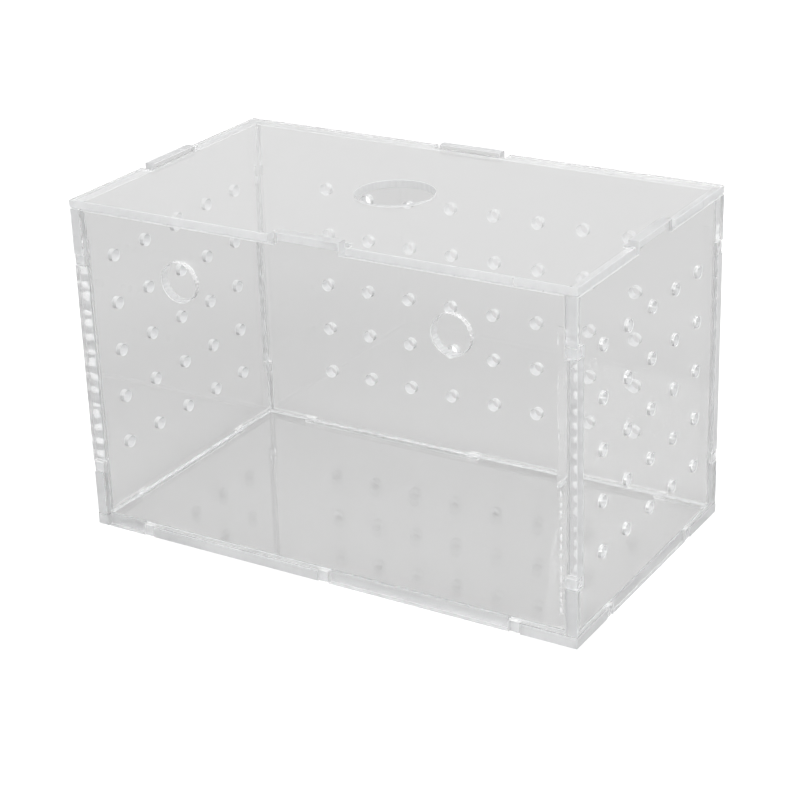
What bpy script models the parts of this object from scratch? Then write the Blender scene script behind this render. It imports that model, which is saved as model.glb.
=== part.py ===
"""Clear acrylic fish breeding box: five finger-jointed sheets and a lid that lifts off.

Metres, +Z up. The origin is the middle of the underside, the long front faces -Y.
Each sheet is cut flat in its own XY plane, with its thickness along +Z, and is then stood up.
"""

import math

import bmesh
import bpy
from mathutils import Matrix, Vector

# Overall box, over the tops of the lid tabs
BOX_LENGTH = 0.140
BOX_DEPTH = 0.080
BOX_HEIGHT = 0.090

# Thickness of the sheets
WALL_SHEET = 0.0028
FLOOR_SHEET = 0.0028
LID_SHEET = 0.0020

# Room left between neighbours
GLUE_LINE = 0.0003
LID_SEAT_GAP = 0.0003
LID_SIDE_SLACK = 0.0003
LID_END_SLACK = 0.00175

# Finger joints, measured from the outer corner of the box
CORNER_FINGER = 0.0150
LONG_END_FINGER = 0.0150
SHORT_END_FINGER = 0.0160
FINGER_RELIEF = 0.0030

# Tabs at the head of each wall that locate the lid
LID_TAB_LENGTH = 0.0180
LID_TAB_PROUD = 0.0008

# Small water holes in the back and side walls
WATER_HOLE_DIAMETER = 0.0030
WATER_HOLE_PITCH = 0.0130
WATER_HOLE_ROWS = 5
BACK_HOLE_COLUMNS = 8
SIDE_HOLE_COLUMNS = 5

# Holes in the front wall that take a suction cup each
SUCTION_HOLE_DIAMETER = 0.0100
SUCTION_HOLE_SPACING = 0.0760
SUCTION_HOLE_DROP = 0.0175

# Feeding hole in the lid
FEEDING_HOLE_DIAMETER = 0.0200

# How round the holes are, and how far a cutter runs past the sheet
SMALL_HOLE_SIDES = 20
LARGE_HOLE_SIDES = 48
CUT_OVERRUN = 0.0010
MERGE_DISTANCE = 0.000001
FLAT_ANGLE = math.radians(1.0)
ROUND_ANGLE = math.radians(30.0)
QUARTER_TURN = math.radians(90.0)

# Colour, roughness and see-through of the acrylic
ACRYLIC_COLOUR = (0.90, 0.92, 0.93, 1.0)
ACRYLIC_ROUGHNESS = 0.04
ACRYLIC_ALPHA = 0.35
ACRYLIC_IOR = 1.49

# Worked out from the sizes above
HALF_LENGTH = BOX_LENGTH / 2
HALF_DEPTH = BOX_DEPTH / 2
LID_TOP = BOX_HEIGHT - LID_TAB_PROUD
LID_UNDERSIDE = LID_TOP - LID_SHEET
SHOULDER = LID_UNDERSIDE - LID_SEAT_GAP
WALL_JOINT = WALL_SHEET + GLUE_LINE
FLOOR_JOINT = FLOOR_SHEET + GLUE_LINE


def clear_scene():
    """Removes whatever the scene holds."""
    for thing in list(bpy.data.objects):
        bpy.data.objects.remove(thing, do_unlink=True)


def clear_acrylic(name):
    """Material of one sheet."""
    material = bpy.data.materials.new(name)
    material.use_nodes = True
    shader = material.node_tree.nodes["Principled BSDF"]
    shader.inputs["Base Color"].default_value = ACRYLIC_COLOUR
    shader.inputs["Metallic"].default_value = 0.0
    shader.inputs["Roughness"].default_value = ACRYLIC_ROUGHNESS
    shader.inputs["IOR"].default_value = ACRYLIC_IOR
    shader.inputs["Alpha"].default_value = ACRYLIC_ALPHA
    material.diffuse_color = ACRYLIC_COLOUR
    return material


def grid_lines(low, high, cuts):
    """Every place along one side where an edge of the blank or of a notch lies, each once."""
    wanted = sorted([low, high] + [min(max(cut, low), high) for cut in cuts])
    lines = wanted[:1]
    for place in wanted[1:]:
        if place - lines[-1] > MERGE_DISTANCE:
            lines.append(place)
    return lines


def cut_blank(width, height, thickness, notches):
    """Flat sheet, width centred on X and height from Y = 0, less notches (x0, x1, y0, y1)."""
    xs = grid_lines(-width / 2, width / 2, [x for notch in notches for x in notch[:2]])
    ys = grid_lines(0.0, height, [y for notch in notches for y in notch[2:]])
    blank = bmesh.new()
    corners = {}

    def corner(i, j):
        """The one vertex at a crossing of two grid lines."""
        if (i, j) not in corners:
            corners[i, j] = blank.verts.new((xs[i], ys[j], 0.0))
        return corners[i, j]

    for i in range(len(xs) - 1):
        for j in range(len(ys) - 1):
            x = (xs[i] + xs[i + 1]) / 2
            y = (ys[j] + ys[j + 1]) / 2
            if not any(x0 < x < x1 and y0 < y < y1 for x0, x1, y0, y1 in notches):
                blank.faces.new((corner(i, j), corner(i + 1, j), corner(i + 1, j + 1), corner(i, j + 1)))

    grown = bmesh.ops.extrude_face_region(blank, geom=blank.faces[:])["geom"]
    raised = [part for part in grown if isinstance(part, bmesh.types.BMVert)]
    bmesh.ops.translate(blank, verts=raised, vec=Vector((0.0, 0.0, thickness)))
    bmesh.ops.dissolve_limit(blank, angle_limit=FLAT_ANGLE, verts=blank.verts, edges=blank.edges)
    bmesh.ops.recalc_face_normals(blank, faces=blank.faces)
    return blank


def finished_mesh(name, shape):
    """Mesh data from a bmesh, which is freed."""
    mesh = bpy.data.meshes.new(name)
    shape.to_mesh(mesh)
    shape.free()
    return mesh


def hole_cutter(name, places, diameter, sides, thickness):
    """One helper with a round pin through the sheet at each place."""
    pins = bmesh.new()
    for x, y in places:
        bmesh.ops.create_cone(
            pins,
            cap_ends=True,
            segments=sides,
            radius1=diameter / 2,
            radius2=diameter / 2,
            depth=thickness + 2 * CUT_OVERRUN,
            matrix=Matrix.Translation((x, y, thickness / 2)),
        )
    mesh = finished_mesh(name, pins)
    mesh.shade_smooth()
    mesh.set_sharp_from_angle(angle=ROUND_ANGLE)
    cutter = bpy.data.objects.new(name, mesh)
    bpy.context.scene.collection.objects.link(cutter)
    cutter.hide_render = True
    cutter.display_type = "WIRE"
    return cutter


def make_sheet(name, blank, carrier, location, turn=(0.0, 0.0, 0.0), cutter=None):
    """Stands a blank up in its place, drills it and gives it its material."""
    sheet = bpy.data.objects.new(name, finished_mesh(name, blank))
    bpy.context.scene.collection.objects.link(sheet)
    sheet.parent = carrier
    sheet.location = Vector(location) - carrier.location
    sheet.rotation_euler = turn
    sheet.data.materials.append(clear_acrylic(name + "_acrylic"))
    if cutter is not None:
        cutter.parent = sheet
        drill = sheet.modifiers.new("holes", "BOOLEAN")
        drill.operation = "DIFFERENCE"
        drill.solver = "EXACT"
        drill.object = cutter
    return sheet


def make_carrier(name, location):
    """An empty that a rigid group of sheets hangs from."""
    carrier = bpy.data.objects.new(name, None)
    carrier.location = location
    bpy.context.scene.collection.objects.link(carrier)
    return carrier


def hole_grid(columns, rows, pitch, middle_height):
    """Centres of a square grid of holes, centred across the sheet."""
    places = []
    for column in range(columns):
        for row in range(rows):
            x = (column - (columns - 1) / 2) * pitch
            y = middle_height + (row - (rows - 1) / 2) * pitch
            places.append((x, y))
    return places


def head_notches(width, overrun):
    """Leaves one lid tab in the middle of the head of a wall and takes the rest down to the shoulder."""
    half = width / 2 + overrun
    return [
        (-half, -LID_TAB_LENGTH / 2, SHOULDER, BOX_HEIGHT + overrun),
        (LID_TAB_LENGTH / 2, half, SHOULDER, BOX_HEIGHT + overrun),
    ]


def long_wall_blank():
    """Front or back wall: its middle finger at each end reaches the outer corner of the box.

    Along the foot, from left to right as seen from outside, the fingers alternate: wall, floor,
    wall, floor.
    """
    outside = HALF_LENGTH + CUT_OVERRUN
    inner = HALF_LENGTH - WALL_JOINT
    slot_top = CORNER_FINGER + FINGER_RELIEF
    top = BOX_HEIGHT + CUT_OVERRUN
    notches = head_notches(BOX_LENGTH, CUT_OVERRUN)
    for low, high in ((-outside, -inner), (inner, outside)):
        notches.append((low, high, -CUT_OVERRUN, slot_top))
        notches.append((low, high, BOX_HEIGHT - slot_top, top))
    end = HALF_LENGTH - LONG_END_FINGER
    half_relief = FINGER_RELIEF / 2
    notches.append((-end, half_relief, -CUT_OVERRUN, FLOOR_JOINT))
    notches.append((end - FINGER_RELIEF, outside, -CUT_OVERRUN, FLOOR_JOINT))
    return cut_blank(BOX_LENGTH, BOX_HEIGHT, WALL_SHEET, notches)


def short_wall_blank():
    """Left or right wall: it reaches the front and back faces at its head and near its foot.

    One wide finger in the middle of the foot goes down past the floor, whose own fingers hold the
    corners of the box.
    """
    outside = HALF_DEPTH + CUT_OVERRUN
    inner = HALF_DEPTH - WALL_JOINT
    notches = head_notches(BOX_DEPTH, CUT_OVERRUN)
    for low, high in ((-outside, -inner), (inner, outside)):
        notches.append((low, high, CORNER_FINGER, BOX_HEIGHT - CORNER_FINGER))
    foot = HALF_DEPTH - SHORT_END_FINGER - FINGER_RELIEF
    for low, high in ((-outside, -foot), (foot, outside)):
        notches.append((low, high, -CUT_OVERRUN, FLOOR_JOINT))
    return cut_blank(BOX_DEPTH, BOX_HEIGHT, WALL_SHEET, notches)


def floor_blank():
    """Floor between the four walls, with fingers out to the faces of the box and to its corners.

    The pattern along the back is that of the front turned half round.
    """
    inner_x = HALF_LENGTH - WALL_JOINT
    inner_y = HALF_DEPTH - WALL_JOINT
    short_end = HALF_DEPTH - SHORT_END_FINGER
    long_end = HALF_LENGTH - LONG_END_FINGER
    half_relief = FINGER_RELIEF / 2
    # Stretches of the front edge, along X, that fingers of the wall take up
    wall_fingers = ((WALL_SHEET - HALF_LENGTH, FINGER_RELIEF - long_end), (-half_relief, long_end))
    notches = []
    for side in (-1, 1):
        near_x, far_x = sorted((side * inner_x, side * (HALF_LENGTH + CUT_OVERRUN)))
        near_y, far_y = sorted((side * inner_y, side * (HALF_DEPTH + CUT_OVERRUN)))
        notches.append((near_x, far_x, HALF_DEPTH - short_end, HALF_DEPTH + short_end))
        for start, stop in wall_fingers:
            low, high = sorted((-side * start, -side * stop))
            notches.append((low, high, HALF_DEPTH + near_y, HALF_DEPTH + far_y))
    return cut_blank(BOX_LENGTH, BOX_DEPTH, FLOOR_SHEET, notches)


def lid_blank():
    """Lid with a slot in the middle of each side round the tab of the wall below."""
    half_slot = LID_TAB_LENGTH / 2 + LID_END_SLACK
    reach = WALL_SHEET + LID_SIDE_SLACK
    notches = []
    for side in (-1, 1):
        low, high = sorted((side * (HALF_LENGTH - reach), side * (HALF_LENGTH + CUT_OVERRUN)))
        notches.append((low, high, HALF_DEPTH - half_slot, HALF_DEPTH + half_slot))
        low, high = sorted((side * (HALF_DEPTH - reach), side * (HALF_DEPTH + CUT_OVERRUN)))
        notches.append((-half_slot, half_slot, HALF_DEPTH + low, HALF_DEPTH + high))
    return cut_blank(BOX_LENGTH, BOX_DEPTH, LID_SHEET, notches)


def make_walls(tank):
    """The four walls, each with its own holes."""
    middle = BOX_HEIGHT / 2
    suction_height = BOX_HEIGHT - SUCTION_HOLE_DROP
    suction_places = [(side * SUCTION_HOLE_SPACING / 2, suction_height) for side in (-1, 1)]
    back_places = hole_grid(BACK_HOLE_COLUMNS, WATER_HOLE_ROWS, WATER_HOLE_PITCH, middle)
    side_places = hole_grid(SIDE_HOLE_COLUMNS, WATER_HOLE_ROWS, WATER_HOLE_PITCH, middle)

    front_pins = hole_cutter(
        "front_hole_cutter", suction_places, SUCTION_HOLE_DIAMETER, LARGE_HOLE_SIDES, WALL_SHEET
    )
    front_at = (0.0, WALL_SHEET - HALF_DEPTH, 0.0)
    make_sheet("front_wall", long_wall_blank(), tank, front_at, (QUARTER_TURN, 0.0, 0.0), front_pins)

    back_pins = hole_cutter(
        "back_hole_cutter", back_places, WATER_HOLE_DIAMETER, SMALL_HOLE_SIDES, WALL_SHEET
    )
    back_at = (0.0, HALF_DEPTH - WALL_SHEET, 0.0)
    back_turn = (QUARTER_TURN, 0.0, 2 * QUARTER_TURN)
    make_sheet("back_wall", long_wall_blank(), tank, back_at, back_turn, back_pins)

    for name, side in (("left", -1), ("right", 1)):
        pins = hole_cutter(
            name + "_hole_cutter", side_places, WATER_HOLE_DIAMETER, SMALL_HOLE_SIDES, WALL_SHEET
        )
        place = (side * (HALF_LENGTH - WALL_SHEET), 0.0, 0.0)
        turn = (QUARTER_TURN, 0.0, side * QUARTER_TURN)
        make_sheet(name + "_wall", short_wall_blank(), tank, place, turn, pins)


def make_floor(tank):
    """The floor, flush with the feet of the walls."""
    make_sheet("floor_panel", floor_blank(), tank, (0.0, -HALF_DEPTH, 0.0))


def make_lid():
    """The loose lid, hung from an empty on the line that it lifts along."""
    lift_line = make_carrier("lid_lift_line", (0.0, 0.0, LID_UNDERSIDE))
    pin = hole_cutter(
        "feeding_hole_cutter", [(0.0, HALF_DEPTH)], FEEDING_HOLE_DIAMETER, LARGE_HOLE_SIDES, LID_SHEET
    )
    make_sheet("lid", lid_blank(), lift_line, (0.0, -HALF_DEPTH, LID_UNDERSIDE), cutter=pin)


def main():
    """Builds the whole box."""
    clear_scene()
    tank = make_carrier("tank", (0.0, 0.0, 0.0))
    make_floor(tank)
    make_walls(tank)
    make_lid()


main()
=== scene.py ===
"""Looks of a clear acrylic fish breeding box: six laser-cut sheets, their glue and the studio.

Each sheet is made again as a fine mesh in the place of its plain solid, with polished faces,
chamfered edges that the laser left waved, and truly round holes. Metres, +Z up, the long front
facing -Y.
"""

import logging
import math
from dataclasses import dataclass, field
from enum import Enum, IntEnum
from random import Random

import bmesh
import bpy
from mathutils import Euler, Matrix, Vector, noise
from mathutils.geometry import delaunay_2d_cdt


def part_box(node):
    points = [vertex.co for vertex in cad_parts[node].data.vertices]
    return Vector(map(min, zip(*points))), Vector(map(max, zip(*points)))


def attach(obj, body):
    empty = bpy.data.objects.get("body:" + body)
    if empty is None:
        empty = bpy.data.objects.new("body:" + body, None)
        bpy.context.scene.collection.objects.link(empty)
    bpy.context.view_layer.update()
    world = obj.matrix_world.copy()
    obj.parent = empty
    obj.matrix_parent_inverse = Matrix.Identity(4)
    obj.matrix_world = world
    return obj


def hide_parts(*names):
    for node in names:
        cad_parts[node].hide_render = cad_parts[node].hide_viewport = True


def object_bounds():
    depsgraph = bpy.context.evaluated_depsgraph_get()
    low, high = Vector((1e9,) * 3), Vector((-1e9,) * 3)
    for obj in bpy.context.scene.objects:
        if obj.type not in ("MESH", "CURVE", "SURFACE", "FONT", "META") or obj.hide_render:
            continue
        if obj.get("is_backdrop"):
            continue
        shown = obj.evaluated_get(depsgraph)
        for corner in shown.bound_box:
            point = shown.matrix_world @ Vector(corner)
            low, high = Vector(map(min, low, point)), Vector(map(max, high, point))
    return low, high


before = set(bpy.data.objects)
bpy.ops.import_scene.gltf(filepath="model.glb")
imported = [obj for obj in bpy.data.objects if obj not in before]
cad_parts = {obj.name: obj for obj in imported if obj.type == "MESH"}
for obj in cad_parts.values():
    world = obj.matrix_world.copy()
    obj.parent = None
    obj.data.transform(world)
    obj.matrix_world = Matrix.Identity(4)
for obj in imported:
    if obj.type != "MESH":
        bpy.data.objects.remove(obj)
CAD_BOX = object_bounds()

CORNERS = ((-1, -1), (1, -1), (-1, 1), (1, 1))
UP = Vector((0.0, 0.0, 1.0))
RUN = "run"
BOUNCES = 64
CLEAR_BOUNCES = 48

Colour = tuple[float, float, float]
Range = tuple[float, float]
Place = tuple[float, float, float]
Socket = bpy.types.NodeSocket
Tree = bpy.types.NodeTree
Values = dict[str | int, float | tuple[float, ...] | Socket]

log = logging.getLogger("breeding_box")


class Slot(Enum):
    """Material slots of the record."""

    FLOOR = "floor_acrylic"
    FRONT = "front_acrylic"
    BACK = "back_acrylic"
    SIDE = "side_acrylic"
    LID = "lid_acrylic"


class Body(Enum):
    """Bodies that pieces ride on."""

    TANK = "tank"
    LID = "lid"


class Seed(float, Enum):
    """Where each kind of glue starts in the noise, so that no two look alike."""

    FLOOR_SEAM = 1.0
    POST_SEAM = 5.0
    FILM = 30.0
    UPPER_DAB = 50.0
    FOOT_LUMP = 70.0
    END_LUMP = 90.0
    POST_LAYER = 100.0
    FINGER_LAYER = 110.0
    LONG_LAYER = 120.0
    LONG_FOOT_LAYER = 130.0
    CORNER_FOOT_LAYER = 140.0
    SHORT_FOOT_LAYER = 150.0
    SHORT_LAYER = 160.0


class Zone(IntEnum):
    """Material slots of a sheet's mesh, in the order of its looks."""

    FACE = 0
    EDGE = 1
    BORE = 2
    CHAMFER = 3


def set_inputs(tree: Tree, node: bpy.types.Node, values: Values) -> None:
    """Sets a node's sockets, and links those that take another node's output.

    Args:
        tree: Node tree of the node.
        node: The node.
        values: What each socket gets, by its name or number.
    """
    for key, value in values.items():
        if isinstance(value, Socket):
            tree.links.new(value, node.inputs[key])
        else:
            node.inputs[key].default_value = value


def add_node(
    tree: Tree, kind: str, values: Values, output: str | int = 0, **settings: str | bool
) -> Socket:
    """Adds a node.

    Args:
        tree: Node tree that it goes into.
        kind: Its type, without the prefix that all shader nodes have.
        values: What its sockets get.
        output: Name or number of the output that is wanted.
        settings: Its other settings.

    Returns:
        That output.
    """
    node = tree.nodes.new("ShaderNode" + kind)
    for name, value in settings.items():
        setattr(node, name, value)
    set_inputs(tree, node, values)
    return node.outputs[output]


def add_noise(tree: Tree, place: Socket, scale: float, detail: float) -> Socket:
    """Adds a noise pattern with values round one half; scale is patches to a metre."""
    return add_node(tree, "TexNoise", {"Vector": place, "Scale": scale, "Detail": detail})


def add_spread(tree: Tree, value: Socket, source: Range, result: Range) -> Socket:
    """Stretches one range of a pattern's values to another and cuts off the rest."""
    return add_node(tree, "MapRange", {
        "Value": value, "From Min": source[0], "From Max": source[1],
        "To Min": result[0], "To Max": result[1],
    })


def add_ramp(tree: Tree, value: Socket, stops: tuple[tuple[float, Colour], ...]) -> Socket:
    """Colours a pattern by its value.

    Args:
        tree: Node tree of the material.
        value: The pattern.
        stops: Values and their colours, lowest first.

    Returns:
        The colour.
    """
    colour = add_node(tree, "ValToRGB", {"Fac": value})
    elements = colour.node.color_ramp.elements
    first, *between, last = stops
    for element, (place, tone) in zip(elements, (first, last)):
        element.position = place
        element.color = (*tone, 1.0)
    for place, tone in between:
        elements.new(place).color = (*tone, 1.0)
    return colour


def new_shader(name: str) -> tuple[bpy.types.Material, Tree, bpy.types.Node]:
    """Starts a node material.

    Args:
        name: Name of the material.

    Returns:
        The material, its node tree and its surface shader.
    """
    material = bpy.data.materials.new(name)
    material.use_nodes = True
    tree = material.node_tree
    return material, tree, tree.nodes["Principled BSDF"]


@dataclass(frozen=True)
class Finish:
    """What every finish of the box has: a name, a surface with a relief, and a light shadow."""

    name: str
    ior: float = 1.49
    lamp_share: float = 0.96

    def dress(self, tree: Tree, shader: bpy.types.Node) -> tuple[Socket, float]:
        """Sets the surface shader and tells the relief's pattern and height."""
        raise NotImplementedError

    def material(self) -> bpy.types.Material:
        """Makes the material, which lets lamps shine through instead of casting a black shadow.

        Returns:
            The material.
        """
        material, tree, shader = new_shader(self.name)
        relief, height = self.dress(tree, shader)
        bump = add_node(tree, "Bump", {"Height": relief, "Distance": height})
        set_inputs(tree, shader, {"IOR": self.ior, "Normal": bump})
        film = add_node(tree, "BsdfTransparent", {"Color": (*(self.lamp_share,) * 3, 1.0)})
        shadow = add_node(tree, "LightPath", {}, "Is Shadow Ray")
        mix = add_node(tree, "MixShader", {0: shadow, 1: shader.outputs["BSDF"], 2: film})
        set_inputs(tree, tree.nodes["Material Output"], {"Surface": mix})
        return material


@dataclass(frozen=True)
class PolishedAcrylic(Finish):
    """The factory face of a cast sheet: clear, glossy and faintly uneven."""

    colour: Colour = (0.985, 0.985, 0.985)
    haze: Range = (0.0, 0.045)
    haze_band: Range = (0.52, 0.78)
    haze_scale: float = 55.0
    haze_detail: float = 5.0
    swell_scale: float = 38.0
    swell_detail: float = 1.0
    swell_height: float = 0.00002

    def dress(self, tree: Tree, shader: bpy.types.Node) -> tuple[Socket, float]:
        """Makes the face clear, with patches of faint haze and a slow swell.

        Args:
            tree: Node tree of the material.
            shader: Its surface shader.

        Returns:
            The swell and its height.
        """
        place = add_node(tree, "TexCoord", {}, "Object")
        haze = add_noise(tree, place, self.haze_scale, self.haze_detail)
        set_inputs(tree, shader, {
            "Base Color": (*self.colour, 1.0),
            "Transmission Weight": 1.0,
            "Roughness": add_spread(tree, haze, self.haze_band, self.haze),
        })
        return add_noise(tree, place, self.swell_scale, self.swell_detail), self.swell_height


@dataclass(frozen=True)
class CutAcrylic(Finish):
    """An edge as the laser leaves it: clear but fogged, paler than the faces, finely striated."""

    low_colour: Colour = (0.86, 0.865, 0.87)
    high_colour: Colour = (0.90, 0.905, 0.91)
    colour_band: Range = (0.35, 0.62)
    roughness: Range = (0.26, 0.38)
    roughness_band: Range = (0.3, 0.7)
    clear_share: float = 0.70
    stria_pitch: float = 0.0024
    stria_detail: float = 4.0
    stria_height: float = 0.000002

    def dress(self, tree: Tree, shader: bpy.types.Node) -> tuple[Socket, float]:
        """Makes the edge part clear and part pale, with striations straight through the sheet.

        Args:
            tree: Node tree of the material.
            shader: Its surface shader.

        Returns:
            The striations and their height.
        """
        run = add_node(tree, "Attribute", {}, "Fac", attribute_name=RUN)
        along = add_node(tree, "CombineXYZ", {"X": run})
        stria = add_noise(tree, along, 1.0 / self.stria_pitch, self.stria_detail)
        stops = tuple(zip(self.colour_band, (self.low_colour, self.high_colour)))
        set_inputs(tree, shader, {
            "Transmission Weight": self.clear_share,
            "Base Color": add_ramp(tree, stria, stops),
            "Roughness": add_spread(tree, stria, self.roughness_band, self.roughness),
        })
        return stria, self.stria_height


@dataclass(frozen=True)
class DriedGlue(Finish):
    """Solvent cement that dried in a joint: clear or milky, lumpy, with a soft gloss, and with a
    glow where set, a painted glint.
    """

    lamp_share: float = 0.98
    colour: Colour = (0.93, 0.935, 0.94)
    roughness: float = 0.22
    clear_share: float = 0.70
    # glow: strength of a white emission that paints glints on the glue, which is no lamp.
    glow: float = 0.0
    lump_scale: float = 900.0
    lump_detail: float = 3.0
    lump_height: float = 0.000004

    def dress(self, tree: Tree, shader: bpy.types.Node) -> tuple[Socket, float]:
        """Makes the glue clear to milky, with small lumps that also differ in gloss, and a white
        emission of strength glow that paints glints on it.

        Args:
            tree: Node tree of the material.
            shader: Its surface shader.

        Returns:
            The lumps and their height.
        """
        place = add_node(tree, "TexCoord", {}, "Object")
        lumps = add_noise(tree, place, self.lump_scale, self.lump_detail)
        gloss = (self.roughness / 2, self.roughness * 3 / 2)
        set_inputs(tree, shader, {
            "Base Color": (*self.colour, 1.0),
            "Transmission Weight": self.clear_share,
            # Painted highlight: the white emission at strength glow stands in for the glints of
            # the glue.
            "Emission Color": (1.0, 1.0, 1.0, 1.0),
            "Emission Strength": self.glow,
            "Roughness": add_spread(tree, lumps, (0.0, 1.0), gloss),
        })
        return lumps, self.lump_height


class Look(Enum):
    """The finishes of the box."""

    POLISHED = PolishedAcrylic("polished_acrylic")
    CUT = CutAcrylic("cut_acrylic")
    BORED = CutAcrylic(
        "bored_acrylic", clear_share=0.12, roughness=(0.30, 0.45), stria_pitch=0.0009,
        low_colour=(0.77, 0.775, 0.78), high_colour=(0.83, 0.835, 0.84),
    )
    SPARKLING = CutAcrylic(
        "sparkling_acrylic", clear_share=0.60, roughness=(0.10, 0.28), stria_pitch=0.0004,
        stria_height=0.00003, low_colour=(0.84, 0.845, 0.85), high_colour=(0.97, 0.975, 0.98),
    )
    EDGE = CutAcrylic(
        "edge_acrylic", clear_share=0.20, roughness=(0.45, 0.55), stria_pitch=0.0040,
        stria_height=0.0000005, low_colour=(0.82, 0.825, 0.83),
    )
    # Painted shade: a darker copy of the polished face, so that the lid reads darker than the
    # walls.
    LID = PolishedAcrylic("lid_painted_shade_acrylic", colour=(0.930, 0.930, 0.930))
    CLEAR_GLUE = DriedGlue("dried_glue")
    JOINT_GLUE = DriedGlue(
        "joint_glue", roughness=0.04, clear_share=1.0, colour=(0.99, 0.99, 0.99),
        lump_scale=300.0, lump_height=0.000002,
    )
    # The milky glue's glow is painted light: a faint emission in place of its glints.
    MILKY_GLINT_PAINTED_GLUE = DriedGlue(
        "milky_glint_painted_glue", roughness=0.40, clear_share=0.0, glow=0.12, lump_height=0.00002
    )


Materials = dict[Look, bpy.types.Material]


def link_object(name: str, data: bpy.types.ID) -> bpy.types.Object:
    """Makes an object and puts it into the scene.

    Args:
        name: Its name.
        data: Its mesh, lamp or camera.

    Returns:
        The object.
    """
    thing = bpy.data.objects.new(name, data)
    bpy.context.scene.collection.objects.link(thing)
    return thing


def link_mesh(
    name: str, body: bmesh.types.BMesh, materials: list[bpy.types.Material], crease: float,
    placement: Matrix,
) -> bpy.types.Object:
    """Turns a mesh that has been built into an object.

    Args:
        name: Name of the object.
        body: The mesh, which is used up.
        materials: Its materials.
        crease: Angle in degrees from which its edges are sharp.
        placement: Where the mesh goes.

    Returns:
        The object.
    """
    mesh = bpy.data.meshes.new(name)
    body.to_mesh(mesh)
    body.free()
    mesh.set_sharp_from_angle(angle=math.radians(crease))
    for material in materials:
        mesh.materials.append(material)
    mesh.transform(placement)
    return link_object(name, mesh)


@dataclass(frozen=True)
class LaserCut:
    """What the laser leaves along a cut: a small chamfer, slow waves and fine striations."""

    chamfer: float = 0.00012
    step: float = 0.00030
    wave_pitch: float = 0.00345
    wave_depth: float = 0.000002
    stria_pitch: float = 0.00060
    stria_depth: float = 0.000002
    merge: float = 1e-7

    def depth(self, run: float, pitch: float, height: float, seed: float) -> float:
        """How far the cut stands back from its line.

        Args:
            run: Distance along the cut.
            pitch: Length of one slow wave.
            height: Depth of one slow wave.
            seed: Tells one cut from another.

        Returns:
            A depth of zero or more.
        """
        wave = 0.5 - 0.5 * math.cos(2 * math.pi * run / pitch)
        stria = 0.5 + 0.5 * noise.noise(Vector((run / self.stria_pitch, seed, 0.0)))
        return height * wave + self.stria_depth * stria


@dataclass(frozen=True)
class CutPoint:
    """A place on a cut, with the way into the material, the cut's depth and the distance run."""

    spot: Vector
    inward: Vector
    depth: float
    run: float


@dataclass(frozen=True)
class Hole:
    """A round hole through a sheet, placed in the sheet's own plane."""

    centre: Vector
    diameter: float
    sides: int
    waves: int
    wave_depth: float

    def cut(self, laser: LaserCut, seed: float) -> list[CutPoint]:
        """Points round the hole.

        Args:
            laser: What the laser leaves.
            seed: Tells one hole from another.

        Returns:
            The points, clockwise, because the material lies outside.
        """
        found = []
        length = math.pi * self.diameter
        for i in range(self.sides):
            share = i / self.sides
            angle = -2 * math.pi * share
            inward = Vector((math.cos(angle), math.sin(angle)))
            depth = laser.depth(share * length, length / self.waves, self.wave_depth, seed)
            spot = self.centre + self.diameter / 2 * inward
            found.append(CutPoint(spot, inward, depth, share * length))
        return found


def encloses(ring: list[Vector], spot: Vector) -> bool:
    """Tells whether a closed ring goes round a spot.

    Args:
        ring: Corners of the ring in its plane.
        spot: The place asked about.

    Returns:
        True where a line to the right of the spot crosses the ring an odd number of times.
    """
    inside = False
    for start, end in zip(ring, ring[1:] + ring[:1]):
        if (start.y > spot.y) != (end.y > spot.y):
            share = (spot.y - start.y) / (end.y - start.y)
            if spot.x < start.x + share * (end.x - start.x):
                inside = not inside
    return inside


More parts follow.
